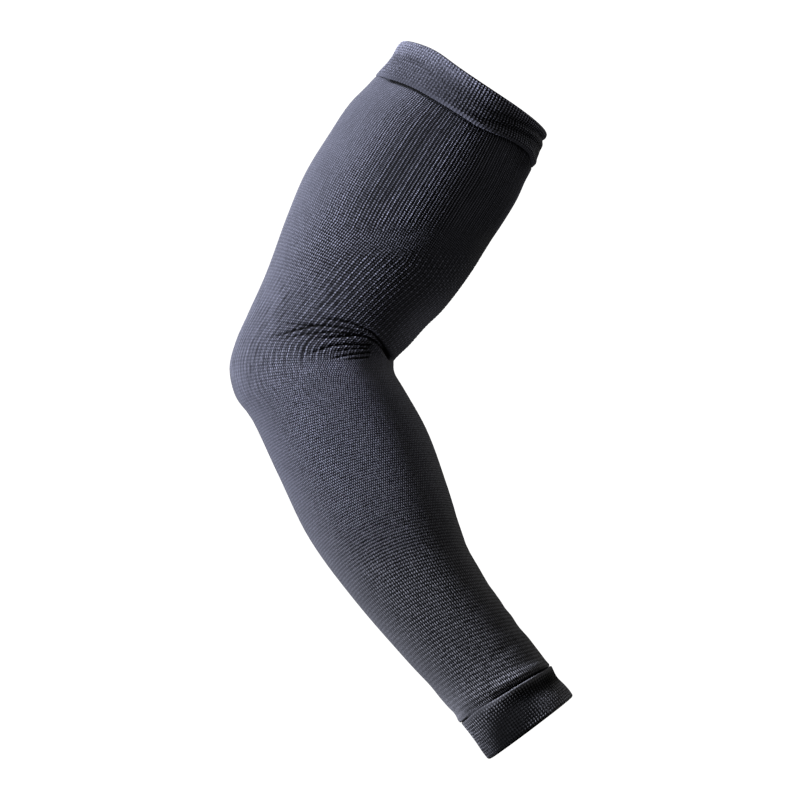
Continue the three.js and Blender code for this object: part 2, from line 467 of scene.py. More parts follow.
def cell_wave(course, beads):
    """Raised cells from 0 to 1: ridges along the arm that break into beads, staggered from ridge to ridge."""
    ridge = (0.5 + 0.5 * np.cos(FULL_TURN * WALE / CELL_WALES)) ** RIDGE_POWER
    stagger = 0.5 * np.floor(WALE / CELL_WALES + 0.5)
    pit = 0.5 + 0.5 * np.cos(FULL_TURN * (course_count(course) / CELL_COURSES + stagger))
    return ridge * (1 - beads * pit)


def loop_streaks(course):
    """Uneven tone that runs along single loop columns and changes slowly from course to course."""
    tones = RANDOM.normal(0, 1, (int(course.max() / STREAK_LENGTH) + 2, WALES))
    tones = np.repeat(tones, COLUMNS_PER_WALE, axis=1)
    place = course[:, 0] / STREAK_LENGTH
    before = np.floor(place).astype(int)
    share = (place - before)[:, None]
    return tones[before] * (1 - share) + tones[before + 1] * share


def yarn_tone_and_painted_light(course, z, forward, zone, rib):
    """Tone of the tube, about 0.5, before folds and single loops are laid over it: uneven streaks and pairs
    of loop columns in the yarn, painted shade between the ribs and painted highlight on their crests, painted
    shade under the upper band and where the arm turns to shade, painted highlights on the inner edge above
    the crease and on the bulges of cloth below the crease and above the wrist band, and lighter or darker
    patches by place.
    """
    streaks = loop_streaks(course)
    pairs = np.cos(FULL_TURN * WALE / CELL_WALES) * (0.6 + 0.4 * loop_streaks(course))
    upper_forearm = ramp(course, 120, 170) * (1 - zone.above_crease)
    # Painted shade where the upper arm turns from the light into shade
    painted_shade_at_turn = zone.above_crease * hump(forward, -0.09, 0.28)
    # Painted highlight on the swell of cloth just above the wrist band
    cuff_swell_highlight = hump(course, WRIST_BAND_HEIGHT + 5, 8) * (1 - 0.5 * ramp(forward, 0.3, 0.6))
    return 0.5 + total([
        (0.05, zone.ribs),
        # painted shade between the ribs and painted highlight on their crests
        (0.5, zone.ribs * rib),
        (0.05, zone.cells),
        (0.1, zone.cells * ramp(forward, 0.1, 0.5)),
        (0.02, streaks),
        (0.03, streaks * zone.ribs),
        (0.04, streaks * zone.elbow_back),
        (0.28, pairs * zone.elbow_back),
        (0.09, zone.biceps * hump(forward, -0.5, 0.25)),
        # painted shade where the arm turns to shade
        (-0.08, painted_shade_at_turn),
        (-0.32, painted_shade_at_turn * zone.biceps),
        # painted shade under the upper band and along its inner edge
        (-0.3, ramp(z, -38, -18) * hump(forward, 0.2, 0.15)),  # under the upper band
        (-0.35, ramp(forward, 0.75, 0.95) * hump(z, -35, 14)),  # inner edge under the upper band
        # painted highlights on the inner edge above the crease and on the cloth that bulges below the crease
        (0.9, ramp(forward, 0.65, 0.95) * hump(z, -136, 18)),  # inner edge above the crease
        (0.2, hump(z, -163, 9) * hump(forward, 0.42, 0.2)),  # cloth that bulges below the crease
        (0.13, upper_forearm * ramp(forward, -0.7, -0.3)),
        (0.03, 1 - ramp(course, 120, 170)),  # lower forearm
        (0.05, (1 - ramp(course, 110, 150)) * ramp(forward, -0.5, -0.1)),  # lower forearm beyond its back
        (-0.06, hump(course, 112, 22) * ramp(-forward, 0.3, 0.8)),  # back of the middle forearm
        (-0.08, (1 - ramp(course, 70, 140)) * ramp(-forward, 0.3, 0.8)),  # back of the lower forearm
        # painted highlight on the swell above the wrist band
        (0.3, cuff_swell_highlight),
    ])


def loop_clarity(forward, zone):
    """How clearly single loops show: the back of the arm is the smoothest and the inner side is soft."""
    clarity = 0.2 + 0.8 * ramp(forward, -0.92, -0.25)
    changes = [
        (-0.15, zone.cells),
        (-0.45, zone.ribs * ramp(forward, 0.3, 0.6)),
        (-0.35, zone.elbow_back),
        (-0.5, ramp(forward, 0.35, 0.7)),
        (0.18, (1 - zone.drawn_out) * (1 - ramp(forward, 0.2, 0.45))),
        (-0.24, zone.biceps * ramp(-forward, 0.4, 0.65)),
    ]
    for change, share in changes:
        clarity = clarity * (1 + change * share)
    return clarity


def arm_tube():
    """The seamless tube: a fine outer wall with the knitted relief, and a coarser plain inner wall."""
    rows = row_courses(BAND_WALL + GAP, UPPER_RIM - BAND_WALL - GAP)
    course = rows[:, None] * np.ones((1, COLUMNS))
    wale_angle = FULL_TURN * np.arange(COLUMNS)[None, :] / COLUMNS * np.ones((len(rows), 1))
    station, angle = knit_lay(course, wale_angle)
    forward = np.cos(angle)
    base = sleeve_point(station, angle, 0.0)
    normal = outward(base)
    x, z = base[..., 0], base[..., 2]

    press, fold_shade = fold_press(TUBE_FOLDS, x, z)
    ridge = 0.5 + 0.5 * np.cos(FULL_TURN * WALE / CELL_WALES)
    # Painted shade along the folds' lines, which rib ridges break except on the inner side
    fold_shade = fold_shade * (1 - FOLD_BREAK * ridge * (1 - ramp(forward, 0.5, 0.75)))
    crease_shade = np.clip(fold_shade, 0, 1)
    upper_dip = upper_crevice(station, angle)
    wrist_dip = wrist_crevice(station, angle)
    shape = worn_shape(course, angle) - press - upper_dip - wrist_dip

    zone = knit_zones(course, x, z, forward)
    rib = rib_wave(forward)
    cell = cell_wave(course, zone.beads)
    relief = zone.ribs * RIB_HEIGHT * rib + zone.cells * CELL_HEIGHT * (cell - CELL_SINK)
    outer = base + normal * (shape + relief * (1 - FOLD_FLATTENS * np.clip(press, 0, 1)))[..., None]
    inner_rows = np.unique(np.append(np.arange(0, len(rows), INNER_ROW_STEP), len(rows) - 1))
    inner = base + normal * (lowest_nearby(shape, INNER_ROW_STEP) - WALL)[..., None]
    inner = inner[inner_rows][:, ::COLUMNS_PER_WALE]

    crest = yarn_tone_and_painted_light(course, z, forward, zone, rib)
    # Painted shade on fold lines and in the dips along the bands' feet, painted highlight on fold ridges
    crest = crest + (FOLD_SHADE_TONE - crest) * crease_shade - FOLD_RIDGE_HIGHLIGHT * np.clip(fold_shade, -1, 0)
    crest = crest - UPPER_DIP_SHADE * np.clip(upper_dip, 0, 2) - WRIST_DIP_SHADE * np.clip(wrist_dip, 0, 3)
    look = {
        "crest": crest,
        "drawn_out": zone.drawn_out,
        "ribbed": np.clip(zone.ribs + zone.cells, 0, 1),
        "cool": ramp(course, 60, 220),
        "grain": loop_clarity(forward, zone),
        "cells": zone.cells * (1 - crease_shade),
        "beads": zone.beads,
        "speckle": 0.06 + 0.16 * zone.elbow * (1 - 0.7 * zone.cells),
        "stagger": 0.5 - 0.5 * ramp(course, 235, 262),
    }
    return tube_object(rows, outer, inner_rows, inner, look)


def tube_object(rows, outer, inner_rows, inner, look):
    """Both walls and the rims that join them, with the knit map and the look of each wall."""
    outer_count = len(rows) * COLUMNS
    inner_count = len(inner_rows) * WALES
    lines = course_count(rows)
    out_faces, out_rows, out_columns = grid_faces(0, len(rows), COLUMNS)
    in_faces, in_rows, in_columns = grid_faces(outer_count, len(inner_rows), WALES, flip=True)
    rims, rim_uv = tube_rims(len(rows), len(inner_rows), outer_count, lines)
    out_uv = np.stack([out_columns / COLUMNS_PER_WALE, lines[out_rows]], axis=-1)
    in_uv = np.stack([in_columns * 1.0, lines[inner_rows][in_rows]], axis=-1)
    points = np.concatenate([outer.reshape(-1, 3), inner.reshape(-1, 3)])
    faces = out_faces.tolist() + in_faces.tolist() + rims
    uvs = np.concatenate([out_uv.reshape(-1, 2), in_uv.reshape(-1, 2), rim_uv])
    attributes = {
        name: np.concatenate([values.ravel(), np.full(inner_count, INNER_LOOK.get(name, 0.0))])
        for name, values in look.items()
    }
    return make_object("knit_tube", points, faces, uvs, attributes)


def tube_rims(row_total, inner_total, outer_count, lines):
    """Closes the wall at both ends: each inner edge meets the outer edges of the same loop column."""
    faces, uvs = [], []
    for at_top in (False, True):
        out_row = row_total - 1 if at_top else 0
        in_row = inner_total - 1 if at_top else 0
        line = lines[-1] if at_top else lines[0]
        for wale in range(WALES):
            first = wale * COLUMNS_PER_WALE
            run = [out_row * COLUMNS + (first + k) % COLUMNS for k in range(COLUMNS_PER_WALE + 1)]
            here = outer_count + in_row * WALES + wale
            beside = outer_count + in_row * WALES + (wale + 1) % WALES
            spots = [wale + k / COLUMNS_PER_WALE for k in range(COLUMNS_PER_WALE + 1)]
            corners = [(here, wale), *zip(run, spots), (beside, wale + 1)]
            if not at_top:
                corners.reverse()
            faces.append([index for index, _ in corners])
            uvs.extend((spot, line) for _, spot in corners)
    return faces, np.array(uvs)


# Bands: mesh columns to a rib, and mesh rows up the outside, over the rolled rim and down the inside
COLUMNS_PER_RIB = 3
BAND_STEPS = 34
ROLL_STEPS = 7
INSIDE_STEPS = 6
FOOT_ROUND = 0.35  # rounding of the free foot
FOLLOW_RANGE = (-1.4, 3)  # how far a band may be pressed towards the tube or stand off it

# Tone of a band: painted highlight on its rib crests and painted shade between them, painted shade on its
# folds, painted highlight for each millimetre that it stands out and painted shade where it is pressed in,
# and the tone of its inside
RIB_LIGHT_AND_SHADE = 0.12
BAND_FOLD_SHADE = 0.3
SWELL_LIGHT_AND_SHADE = 0.22
INSIDE_TONE = 0.3


def band_profile(height):
    """Closed loop of a band's section: up the outside, over the rolled rim, down the inside of the layer.
    Each row is height above the foot, offset from the tube, share of the surface relief that it carries,
    and share of the rim's rise."""
    outer = GAP + BAND_WALL
    roll = (outer + WALL) / 2
    middle = outer - roll
    up = np.linspace(0.45, height - roll, BAND_STEPS)
    full = np.ones(BAND_STEPS)
    side = np.stack([up, outer * full, full, ramp(up, 0.3 * height, height - roll)], axis=1)
    turn = np.linspace(0, math.pi, ROLL_STEPS + 2)[1:-1]
    over = np.stack([height - roll + roll * np.sin(turn), middle + roll * np.cos(turn)], axis=1)
    rim = np.column_stack([over, np.cos(turn / 2), np.ones(ROLL_STEPS)])
    lip = np.array([
        (height - roll, -WALL, 0.0, 1.0),
        (height - BAND_WALL, -WALL, 0.0, 0.0),
        (height - BAND_WALL, GAP, 0.0, 0.0),
    ])
    down = np.linspace(height - BAND_WALL - 2, 0.3, INSIDE_STEPS)
    none = np.zeros(INSIDE_STEPS)
    inside = np.stack([down, none + GAP, none, none], axis=1)
    foot = np.array([(0.0, GAP + FOOT_ROUND, 0.5, 0.0), (0.0, outer - FOOT_ROUND, 0.9, 0.0)])
    return np.concatenate([side, rim, lip, inside, foot])


def upper_band_shape(rise, forward):
    """Swell, blunt foot and puckers of the upper band, in millimetres off a plain band."""
    back = ramp(-forward, 0.75, 1.0)
    tucked = ramp(forward, -0.1, 0.4) * (1 - 0.75 * ramp(forward, 0.8, 1.0))
    return total([
        (0.5, np.sin(math.pi * np.clip(rise, 0, 1)) ** 0.7),  # swell between foot and rim
        (0.4, ramp(-forward, 0.6, 1.0)),  # fuller back
        (1.2, back * hump(rise, 0.85, 0.2)),  # back under the rim
        (0.9, back * hump(rise, 0.1, 0.3)),  # blunt foot at the back
        (0.8, ramp(forward, -0.5, 0.3) * hump(rise, 0.06 + 0.1 * forward, 0.1)),  # puffed foot
        (-1.3, ramp(forward, 0.15, 0.6) * hump(rise, 0.39 + 0.37 * forward, 0.07)),  # upper pucker
        (-1.2, tucked * hump(rise, 0.16 + 0.35 * forward, 0.075)),  # lower pucker
    ])


def upper_band_light_and_shade(rise, forward):
    """Painted light of the upper band: painted highlights along the free foot and towards the rim; darker at
    the back and on the side.
    """
    return total([
        (0.3, ramp(forward, -0.6, 0.0) * hump(rise, 0.04, 0.07)),
        (0.46, ramp(rise, 0.5, 0.95)),
        (0.34, ramp(rise, 0.5, 0.95) * hump(forward, 0.0, 0.5)),
        (-0.18, ramp(-forward, 0.5, 0.95)),
        (-0.14, hump(forward, -0.2, 0.35)),
    ])


def upper_band_grain(forward):
    """How clearly single loops show on the upper band."""
    return 0.5 + 0.35 * ramp(forward, -0.4, 0.25)


def upper_band_rise(forward):
    """How far the rolled rim of the upper band stands above the rim's section."""
    return 1.9 + 1.8 * hump(forward, -0.65, 0.3) - 0.8 * hump(forward, 0.2, 0.5)


def wrist_band_shape(rise, forward):
    """A free foot that stands off the arm on the inner side, a shallow dip under it and a fuller rim."""
    free = ramp(forward, -0.45, 0.15) * (1 - 0.6 * ramp(forward, 0.7, 0.97))
    return total([
        (1.2, free * hump(rise, 0.0, 0.13)),
        (-0.6, ramp(forward, -0.7, 0.0) * hump(rise, 0.36, 0.17)),
        (0.35, hump(rise, 0.8, 0.2)),
        (0.3, ramp(-forward, 0.6, 1.0)),
    ])


def wrist_band_light_and_shade(rise, forward):
    """Painted light and shade of the wrist band: darker over all but the back, with painted highlights along
    the free foot, on the inner side and in a thin line inside the rim.
    """
    rim_half = ramp(rise, 0.3, 0.6)
    return total([
        (-0.05, 1.0),
        (-0.3, ramp(forward, -0.95, -0.35)),  # all but the back
        (0.4, ramp(forward, 0.15, 0.5) * (0.4 + 0.6 * rim_half)),  # inner side
        (0.45, ramp(forward, 0.45, 0.85) * rim_half),  # inner edge near the rim
        (-0.2, ramp(forward, 0.6, 0.9) * (1 - rim_half)),  # inner edge near the foot
        (-0.32, ramp(rise, 0.3, 0.85) * (1 - ramp(forward, -0.4, 0.3))),  # back towards the rim
        (0.6, ramp(forward, -0.6, -0.2) * hump(rise, 0.04, 0.09)),  # free foot
        (0.42, hump(forward, -0.4, 0.35) * hump(rise, 0.1, 0.2)),  # beside the free foot
        (0.4, ramp(forward, -0.4, 0.3) * hump(rise, 0.89, 0.06)),  # thin line inside the rim
        (-0.14, ramp(rise, 0.94, 0.98)),  # edge of the rim
    ])


def wrist_band_grain(forward):
    """How clearly single loops show on the wrist band."""
    return (0.8 + 0.2 * ramp(forward, -0.6, 0.0)) * (1 - 0.35 * ramp(forward, 0.1, 0.5))


def wrist_band_rise(forward):
    """How far the rolled rim of the wrist band stands past the rim's section."""
    return np.full_like(forward, 0.3)


def band(name, rim_station, towards_rim, height, foot_station, ribs, rib_height, folds, look):
    """A band turned over the tube's end: ribs and folds on a layer from its free foot to the rolled rim.
    The look names how the band is shaped, its painted light and shade, how grained it is, how its rim rises
    and how cool its yarn is."""
    up, plain_offset, carried, lifted = (column[:, None] for column in band_profile(height).T)
    rows = len(up)
    columns = ribs * COLUMNS_PER_RIB
    angle = FULL_TURN * np.arange(columns)[None, :] / columns * np.ones((rows, 1))
    forward = np.cos(angle)
    rise = up / height * np.ones((1, columns))
    real_height = towards_rim * (rim_station - foot_station(forward))
    station = rim_station + towards_rim * ((rise - 1) * real_height + lifted * look.rim_rise(forward))

    rib_place = np.arange(columns)[None, :] / COLUMNS_PER_RIB
    strength = RANDOM.uniform(0.7, 1.3, ribs)[np.floor(rib_place + 0.5).astype(int) % ribs]
    rib = np.cos(FULL_TURN * rib_place) * strength
    plain = sleeve_point(station, angle, plain_offset)
    press, fold_shade = fold_press(folds, plain[..., 0], plain[..., 2])
    follow = np.clip(look.shape(rise, forward) - press, *FOLLOW_RANGE)
    ends = 0.5 + 0.5 * ramp(rise, 0.0, 0.06) - 0.5 * ramp(rise, 0.92, 1.0)
    offset = plain_offset + follow * carried + rib_height * rib * carried * ends
    points = sleeve_point(station, angle, offset)

    grain = look.grain(forward) * (1 - 0.85 * hump(rise, 0.03, 0.07))
    # Painted highlight on rib crests, painted shade between ribs and along folds
    crest = 0.5 + RIB_LIGHT_AND_SHADE * rib * grain * carried * ends - BAND_FOLD_SHADE * fold_shade * carried
    # Painted highlight where the band stands out, painted shade where it is pressed in, and the look's
    # painted light
    crest = crest + (SWELL_LIGHT_AND_SHADE * np.clip(follow - 0.4, -1.5, 1.0) + look.tone(rise, forward)) * carried
    crest = np.where(carried < 0.2, INSIDE_TONE, crest)
    if towards_rim < 0:
        points, crest, grain = points[::-1], crest[::-1], grain[::-1]

    faces, face_rows, face_columns = grid_faces(0, rows + 1, columns)
    faces = faces % (rows * columns)
    steps = np.linalg.norm(np.diff(points[:, 0], axis=0, append=points[:1, 0]), axis=-1)
    lines = np.concatenate([[0], np.cumsum(steps)]) / BAND_COURSE_PITCH
    uvs = np.stack([face_columns / COLUMNS_PER_RIB, lines[face_rows]], axis=-1)
    none = np.zeros((rows, columns))
    attributes = {
        "crest": crest,
        "drawn_out": none,
        "ribbed": none + 1,
        "grain": grain,
        "cool": none + look.cool,
        "cells": none,
        "beads": none,
        "stagger": none,
        "speckle": 0.8 * (1 - look.grain(forward)),
    }
    return make_object(name, points.reshape(-1, 3), faces.tolist(), uvs.reshape(-1, 2), attributes)


# Materials

class NodeSketch:
    """Short way to write a node material: every call adds its nodes and returns their output."""

    def __init__(self, name):
        self.material = bpy.data.materials.new(name)
        self.material.use_nodes = True
        self.tree = self.material.node_tree
        self.tree.nodes.clear()

    def add(self, kind, inputs=None, **settings):
        """One node with its settings, and its inputs linked or set."""
        node = self.tree.nodes.new(kind)
        for key, value in settings.items():
            setattr(node, key, value)
        for key, value in (inputs or {}).items():
            self.put(node.inputs[key], value)
        return node

    def put(self, socket, value):
        """Links an output to a socket, or sets a plain value on it."""
        if isinstance(value, bpy.types.NodeSocket):
            self.tree.links.new(value, socket)
        else:
            socket.default_value = value

    def math(self, operation, *values):
        inputs = dict(enumerate(values))
        return self.add("ShaderNodeMath", inputs, operation=operation).outputs[0]

    def spread(self, value, low, high, to_low, to_high):
        """Value carried from one range over to another and held between its ends."""
        inputs = {"Value": value, "From Min": low, "From Max": high, "To Min": to_low, "To Max": to_high}
        return self.add("ShaderNodeMapRange", inputs).outputs["Result"]

    def between(self, share, low, high):
        """From low to high by a share from 0 to 1."""
        return self.spread(share, 0.0, 1.0, low, high)

    def wave(self, turns, low):
        """Cosine wave over full turns, from low up to 1."""
        cosine = self.math("COSINE", self.math("MULTIPLY", turns, FULL_TURN))
        return self.spread(cosine, -1.0, 1.0, low, 1.0)

    def attribute(self, name):
        return self.add("ShaderNodeAttribute", attribute_name=name).outputs["Fac"]

    def noise(self, vector, scale, detail):
        inputs = {"Vector": vector, "Scale": scale, "Detail": detail}
        return self.add("ShaderNodeTexNoise", inputs).outputs["Fac"]

    def stray(self, noise, reach):
        """Noise about its middle, scaled so that it goes as far as the reach to either side."""
        return self.spread(noise, *NOISE_RANGE, -reach, reach)

    def each_loop(self, wale, course):
        """A value from 0 to 1 that differs from loop to loop."""
        corner = self.add("ShaderNodeCombineXYZ", {
            "X": self.math("FLOOR", wale),
            "Y": self.math("FLOOR", course),
        })
        inputs = {"Vector": corner.outputs["Vector"]}
        return self.add("ShaderNodeTexWhiteNoise", inputs, noise_dimensions="2D").outputs["Value"]

    def blend(self, factor, first, second):
        """Mix of two colours, which goes past the second for a factor over 1."""
        node = self.add("ShaderNodeMix", data_type="RGBA", clamp_factor=False)
        self.put(node.inputs["Factor"], factor)
        self.put(node.inputs[6], first)
        self.put(node.inputs[7], second)
        return node.outputs[2]


# Values between which nearly all of a noise lies
NOISE_RANGE = (0.3, 0.7)

# Loop columns that show round the arm: on plain cloth, and where it is drawn out towards the wrist
PLAIN_WALES = 240
DRAWN_OUT_WALES = 160

# Heights left between loop columns and between course lines, for each kind of knit
RIB_LOWS = (0.15, 0.25)
PLAIN_LOWS = (0.22, 0.32)
DRAWN_OUT_LOWS = (0.15, 0.38)

# Form of a loop: how far its two legs slant, as a share of a course, and where one course ends and the next
# begins, for loops that are staggered from course to course
LOOP_SLANT = 0.8
COURSE_CUT = 0.7

# How far loops stray from an even grid, as a share of a loop column and of a course
WALE_WANDER = 0.09
COURSE_WAVER = 0.16

# Tone of a spot on a loop, partly the knit's own pattern and partly painted shade in the gaps between loops
# and
# painted highlight on their tops: darkest and lightest share of the cloth's tone, how narrow the light top
# is, the mean share, which stays where single loops don't show, and how much one loop differs from the next
LOOP_DARK = -0.55
LOOP_LIGHT = 3.9
LOOP_POWER = 1.6
LOOP_MEAN = 0.83
LOOP_UNEVEN = 0.14

# Raised cells: painted shade between the ridges and painted highlight on a bead, and how much one cell
# differs from the next
CELL_SHADE = -0.22
CELL_HIGHLIGHT = 0.5
CELL_UNEVEN = 0.06

# Flecks are drawn out along the loop columns: less than 1 makes them longer
FLECK_STRETCH = 0.6

# Scales of the noises: in loops for the flecks, in waves to the metre for the others
FLECK_SCALE = 2.1
WANDER_SCALE = 500.0
WAVER_SCALE = 800.0
FUZZ_SCALE = 2600.0
MOTTLE_SCALE = 420.0
PATCH_SCALE = 38.0

# Fuzz beside the height of a loop, height of the bump in metres, and tone of the mottle and of wide patches
FUZZ_HEIGHT = 0.3
BUMP_STRENGTH = 0.8
BUMP_DISTANCE = 0.00045
MOTTLE_TONE = 0.015
PATCH_TONE = 0.03

# Charcoal yarn: near black painted shade in the valleys and on fold lines, the yarn on the crests of the tube
# and of the bands, and greyer towards the wrist
VALLEY_SHADE = (0.004, 0.004, 0.005, 1.0)
TUBE_CREST = (0.198, 0.203, 0.276, 1.0)
BAND_CREST = (0.186, 0.191, 0.262, 1.0)
GREY_CREST = (0.203, 0.205, 0.246, 1.0)
ROUGHNESS_RANGE = (0.82, 0.95)
SPECULAR = 0.06
SHEEN = 0.03
SHEEN_ROUGHNESS = 0.45
SHEEN_TINT = (0.78, 0.82, 1.0, 1.0)


def stitches(sketch, wale, course, lows, stagger=0.0):
    """V-shaped loops: height from 0 to 1, and a value that differs from loop to loop.
    Every other course is moved sideways by the stagger, a share of a loop column."""
    wale_low, course_low = lows
    odd = sketch.math("MODULO", sketch.math("FLOOR", sketch.math("ADD", course, COURSE_CUT)), 2.0)
    middle = sketch.math("ADD", wale, sketch.math("MULTIPLY_ADD", odd, stagger, 0.5))
    across = sketch.math("ABSOLUTE", sketch.math("SUBTRACT", sketch.math("FRACT", middle), 0.5))
    slanted = sketch.math("ADD", course, sketch.math("MULTIPLY", across, LOOP_SLANT))
    height = sketch.math("MULTIPLY", sketch.wave(across, wale_low), sketch.wave(slanted, course_low))
    return height, sketch.each_loop(middle, slanted)


def knit_layers(sketch, wale, course):
    """Height and loop tone of the whole knit: plain or ribbed, and drawn out towards the wrist."""
    stagger = sketch.attribute("stagger")
    plain_wale = sketch.math("MULTIPLY", wale, PLAIN_WALES / WALES)
    open_wale = sketch.math("MULTIPLY", wale, DRAWN_OUT_WALES / WALES)
    rib_layer = stitches(sketch, wale, course, RIB_LOWS)
    plain_layer = stitches(sketch, plain_wale, course, PLAIN_LOWS, stagger)
    open_layer = stitches(sketch, open_wale, course, DRAWN_OUT_LOWS)
    ribbed = sketch.attribute("ribbed")
    drawn_out = sketch.attribute("drawn_out")
    blended = []
    for plain, rib, opened in zip(plain_layer, rib_layer, open_layer):
        blended.append(sketch.between(drawn_out, sketch.between(ribbed, plain, rib), opened))
    return blended


def raised_cells(sketch, wale, course):
    """Painted shade and highlight of the raised cells round the elbow: ridges that break into staggered
    beads, lighter on the beads and darker between the ridges, with a tone that differs from cell to cell.
    """
    ridge_place = sketch.math("ADD", sketch.math("DIVIDE", wale, CELL_WALES), 0.5)
    across = sketch.math("SUBTRACT", sketch.math("FRACT", ridge_place), 0.5)
    ridge = sketch.math("POWER", sketch.wave(across, 0.0), RIDGE_POWER)
    stagger = sketch.math("MULTIPLY", sketch.math("FLOOR", ridge_place), 0.5)
    row = sketch.math("ADD", sketch.math("DIVIDE", course, CELL_COURSES), stagger)
    pit = sketch.wave(row, 0.0)
    whole = sketch.math("SUBTRACT", 1.0, sketch.math("MULTIPLY", sketch.attribute("beads"), pit))
    tone = sketch.between(sketch.math("MULTIPLY", ridge, whole), CELL_SHADE, CELL_HIGHLIGHT)
    uneven = sketch.between(sketch.each_loop(ridge_place, row), -CELL_UNEVEN, CELL_UNEVEN)
    return sketch.math("MULTIPLY", sketch.math("ADD", tone, uneven), sketch.attribute("cells"))


def flecks(sketch, knit):
    """Uneven flecks from 0 to 1, drawn out along the loop columns."""
    place = sketch.add("ShaderNodeCombineXYZ", {
        "X": knit.outputs["X"],
        "Y": sketch.math("MULTIPLY", knit.outputs["Y"], FLECK_STRETCH),
    }).outputs["Vector"]
    return sketch.spread(sketch.noise(place, FLECK_SCALE, 1.0), *NOISE_RANGE, 0.0, 1.0)


def knit_material(name, crest):
    """Charcoal yarn: V-shaped stitches from the knit map, painted shade between ridges and loops with painted
    highlights on their tops, the painted light and shade of the crest tone, faintly mottled, fuzzy.
    """
    sketch = NodeSketch(name)
    knit_map = sketch.add("ShaderNodeUVMap", uv_map=KNIT_MAP).outputs["UV"]
    knit = sketch.add("ShaderNodeSeparateXYZ", {"Vector": knit_map})
    place = sketch.add("ShaderNodeTexCoord").outputs["Object"]
    wander = sketch.stray(sketch.noise(place, WANDER_SCALE, 1.0), WALE_WANDER)
    waver = sketch.stray(sketch.noise(place, WAVER_SCALE, 1.0), COURSE_WAVER)
    wale = sketch.math("ADD", knit.outputs["X"], wander)
    course = sketch.math("ADD", knit.outputs["Y"], waver)

    height, loop_tone = knit_layers(sketch, wale, course)
    height = sketch.between(sketch.attribute("speckle"), height, flecks(sketch, knit))
    fuzz = sketch.noise(place, FUZZ_SCALE, 2.0)
    relief = sketch.math("ADD", height, sketch.math("MULTIPLY", fuzz, FUZZ_HEIGHT))
    bump = sketch.add("ShaderNodeBump", {
        "Height": relief,
        "Strength": BUMP_STRENGTH,
        "Distance": BUMP_DISTANCE,
    })

    narrow = sketch.math("POWER", height, LOOP_POWER)
    loops = sketch.between(narrow, LOOP_DARK - LOOP_MEAN, LOOP_LIGHT - LOOP_MEAN)
    loops = sketch.math("ADD", loops, sketch.between(loop_tone, -LOOP_UNEVEN, LOOP_UNEVEN))
    loops = sketch.math("ADD", sketch.math("MULTIPLY", loops, sketch.attribute("grain")), LOOP_MEAN)
    mottle = sketch.stray(sketch.noise(place, MOTTLE_SCALE, 3.0), MOTTLE_TONE)
    patches = sketch.stray(sketch.noise(place, PATCH_SCALE, 2.0), PATCH_TONE)
    shade = sketch.math("ADD", sketch.math("ADD", sketch.attribute("crest"), mottle), patches)
    shade = sketch.math("ADD", shade, raised_cells(sketch, wale, course))
    shade = sketch.math("MAXIMUM", sketch.math("MULTIPLY", shade, loops), 0.0)
    light = sketch.blend(sketch.attribute("cool"), GREY_CREST, crest)

    shader = sketch.add("ShaderNodeBsdfPrincipled", {
        "Base Color": sketch.blend(shade, VALLEY_SHADE, light),
        "Roughness": sketch.spread(fuzz, *NOISE_RANGE, *ROUGHNESS_RANGE),
        "Diffuse Roughness": 1.0,
        "Normal": bump.outputs["Normal"],
        "Specular IOR Level": SPECULAR,
        "Sheen Weight": SHEEN,
        "Sheen Roughness": SHEEN_ROUGHNESS,
        "Sheen Tint": SHEEN_TINT,
    })
    sketch.add("ShaderNodeOutputMaterial", {"Surface": shader.outputs["BSDF"]})
    return sketch.material


# Pieces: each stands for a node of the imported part
upper_look = SimpleNamespace(
    shape=upper_band_shape,
    tone=upper_band_light_and_shade,
    rim_rise=upper_band_rise,
    grain=upper_band_grain,
    cool=1.0,
)
wrist_look = SimpleNamespace(
    shape=wrist_band_shape,
    tone=wrist_band_light_and_shade,
    rim_rise=wrist_band_rise,
    grain=wrist_band_grain,
    cool=0.0,
)
tube = arm_tube()
upper = band(
    "knit_upper_band",
    rim_station=UPPER_RIM,
    towards_rim=1,
    height=UPPER_BAND_HEIGHT,
    foot_station=upper_foot,
    ribs=150,
    rib_height=0.12,
    folds=UPPER_BAND_FOLDS,
    look=upper_look,
)
wrist = band(
    "knit_wrist_band",
    rim_station=0.0,
    towards_rim=-1,
    height=WRIST_BAND_HEIGHT,
    foot_station=wrist_foot,
    ribs=105,
    rib_height=0.1,
    folds=[],
    look=wrist_look,
)
tube_knit = knit_material("tube_knit", TUBE_CREST)
band_knit = knit_material("band_knit", BAND_CREST)
for piece, node, slot, material in (
    (tube, "arm_tube", "tube_knit", tube_knit),
    (upper, "upper_band", "band_knit", band_knit),
    (wrist, "wrist_band", "band_knit", band_knit),
):
    piece.data.materials.append(material)
    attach(piece, "root")
    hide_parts(node)

# Studio floor and wall, one smooth cove turned about the vertical
FLOOR_Z = -0.56
FLOOR_RINGS = (1.0, 3.0)
FLOOR_RADIUS = 5.0
COVE_RADIUS = 2.0
COVE_STEPS = 12
COVE_SIDES = 64
WALL_TOP = 7.0

# Glow of the studio: distances from the sleeve between which it grows, and its strength at each
GLOW_DISTANCES = (0.5, 2.0)
GLOW = (0.72, 1.0)


def studio_material():
    """Pale studio floor and wall that glow, a little less near the middle."""
    sketch = NodeSketch("pale_studio")
    place = sketch.add("ShaderNodeTexCoord").outputs["Object"]
    distance = sketch.add("ShaderNodeVectorMath", {0: place}, operation="LENGTH").outputs["Value"]
    shader = sketch.add("ShaderNodeBsdfPrincipled", {
        "Base Color": (0.85, 0.85, 0.86, 1.0),
        "Roughness": 0.9,
        "Emission Color": (1.0, 1.0, 1.0, 1.0),
        "Emission Strength": sketch.spread(distance, *GLOW_DISTANCES, *GLOW),
    })
    sketch.add("ShaderNodeOutputMaterial", {"Surface": shader.outputs["BSDF"]})
    return sketch.material


